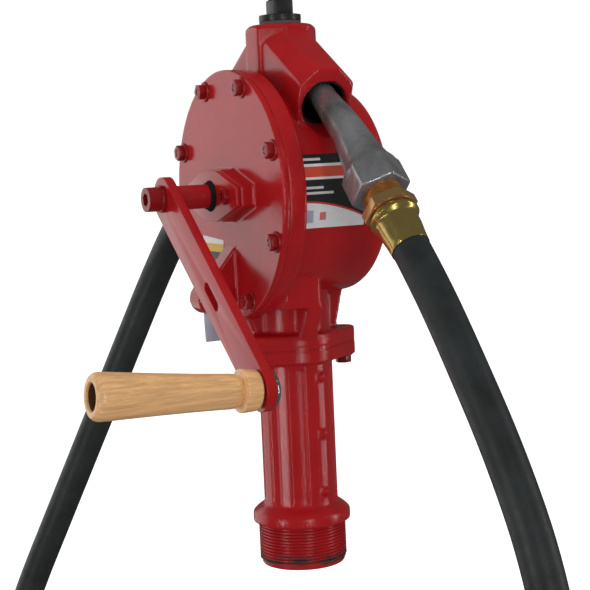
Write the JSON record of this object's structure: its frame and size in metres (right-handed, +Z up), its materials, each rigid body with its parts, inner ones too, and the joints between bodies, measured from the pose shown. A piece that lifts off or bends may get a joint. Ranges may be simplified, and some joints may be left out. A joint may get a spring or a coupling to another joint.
{
  "type": "rotary hand transfer pump",
  "caption": "Rotary vane hand pump on a bung adapter, with a slotted crank and turned wooden grip, a hanging delivery hose and a curved spout parked in the holster arm.",
  "frame": {"origin": "centre of the seat under the collar, where the bung thread starts", "axes": "+Z up along the column, -Y out of the cover towards the crank, +X towards the holster arm and the parked spout"},
  "size_m": [0.6822, 0.2426, 1.0287],
  "materials": {
    "red_enamel": "gloss red enamel over rough cast iron",
    "red_cover": "gloss red enamel",
    "bolt_red": "gloss red enamel over steel",
    "bright_steel": "zinc plated",
    "dark_steel": "black oxide",
    "spangled_steel": "galvanised, spangled",
    "ground_iron": "ground",
    "bronze": "plain bearing bronze",
    "brass": "polished",
    "nipple_brass": "machined",
    "die_cast": "as cast, fine grain",
    "black_rubber": "matt",
    "black_plastic": "satin",
    "gasket_fibre": "matt",
    "light_wood": "turned, clear varnish",
    "label_side": "printed film, plain bands",
    "label_caution": "printed film, plain bands"
  },
  "bodies": {
    "pump": {"bung_adapter": "red_enamel", "caution_label": "label_caution", "cover_bolt_1": "bolt_red", "cover_bolt_2": "bolt_red", "cover_bolt_3": "bolt_red", "cover_bolt_4": "bolt_red", "cover_bolt_5": "bolt_red", "cover_bolt_6": "bolt_red", "cover_bolt_7": "bolt_red", "cover_bolt_8": "bolt_red", "cover_gasket": "gasket_fibre", "cover_plate": "red_cover", "filler_plug": "black_plastic", "flange_bolt_back": "bolt_red", "flange_bolt_front": "bolt_red", "front_bushing": "bronze", "gland_plate": "red_cover", "gland_screw_left": "bolt_red", "gland_screw_right": "bolt_red", "hose": "black_rubber", "inlet_gasket": "gasket_fibre", "inlet_strainer": "bright_steel", "lock_tab": "spangled_steel", "nozzle_spout": "die_cast", "outlet_ferrule": "brass", "outlet_nipple": "nipple_brass", "plug_gasket": "black_rubber", "pump_housing": "red_enamel", "rear_bushing": "bronze", "shaft_packing": "black_rubber", "side_label": "label_side", "spout_ferrule": "brass", "spout_nipple": "nipple_brass", "valve_seat": "bronze"},
    "crank": {"rotor": "ground_iron", "rotor_shaft": "red_cover", "rotor_key": "bright_steel", "crank_arm": "red_cover", "crank_screw": "bolt_red", "lock_washer": "bolt_red", "shaft_spacer": "dark_steel", "grip_pin": "bright_steel", "grip_nut": "bright_steel", "vane_right": "black_plastic", "vane_up": "black_plastic", "vane_left": "black_plastic", "vane_down": "black_plastic", "vane_spring_right": "bright_steel", "vane_spring_up": "bright_steel", "vane_spring_left": "bright_steel", "vane_spring_down": "bright_steel"},
    "grip": {"wooden_grip": "light_wood"},
    "poppet": {"check_valve_poppet": "brass"}
  },
  "joints": [
    {"name": "crank_spin", "type": "hinge", "parent": "pump", "child": "crank", "pos_m": [0, 0, 0.227], "axis": [0, -1, 0], "continuous": true},
    {"name": "grip_spin", "type": "hinge", "parent": "crank", "child": "grip", "pos_m": [0.13161, -0.0925, 0.11735], "axis": [0, -0.9969, 0.0785], "continuous": true},
    {"name": "check_valve_lift", "type": "slide", "parent": "pump", "child": "poppet", "axis": [0, 0, 1], "range_m": [0, 0.006]}
  ]
}
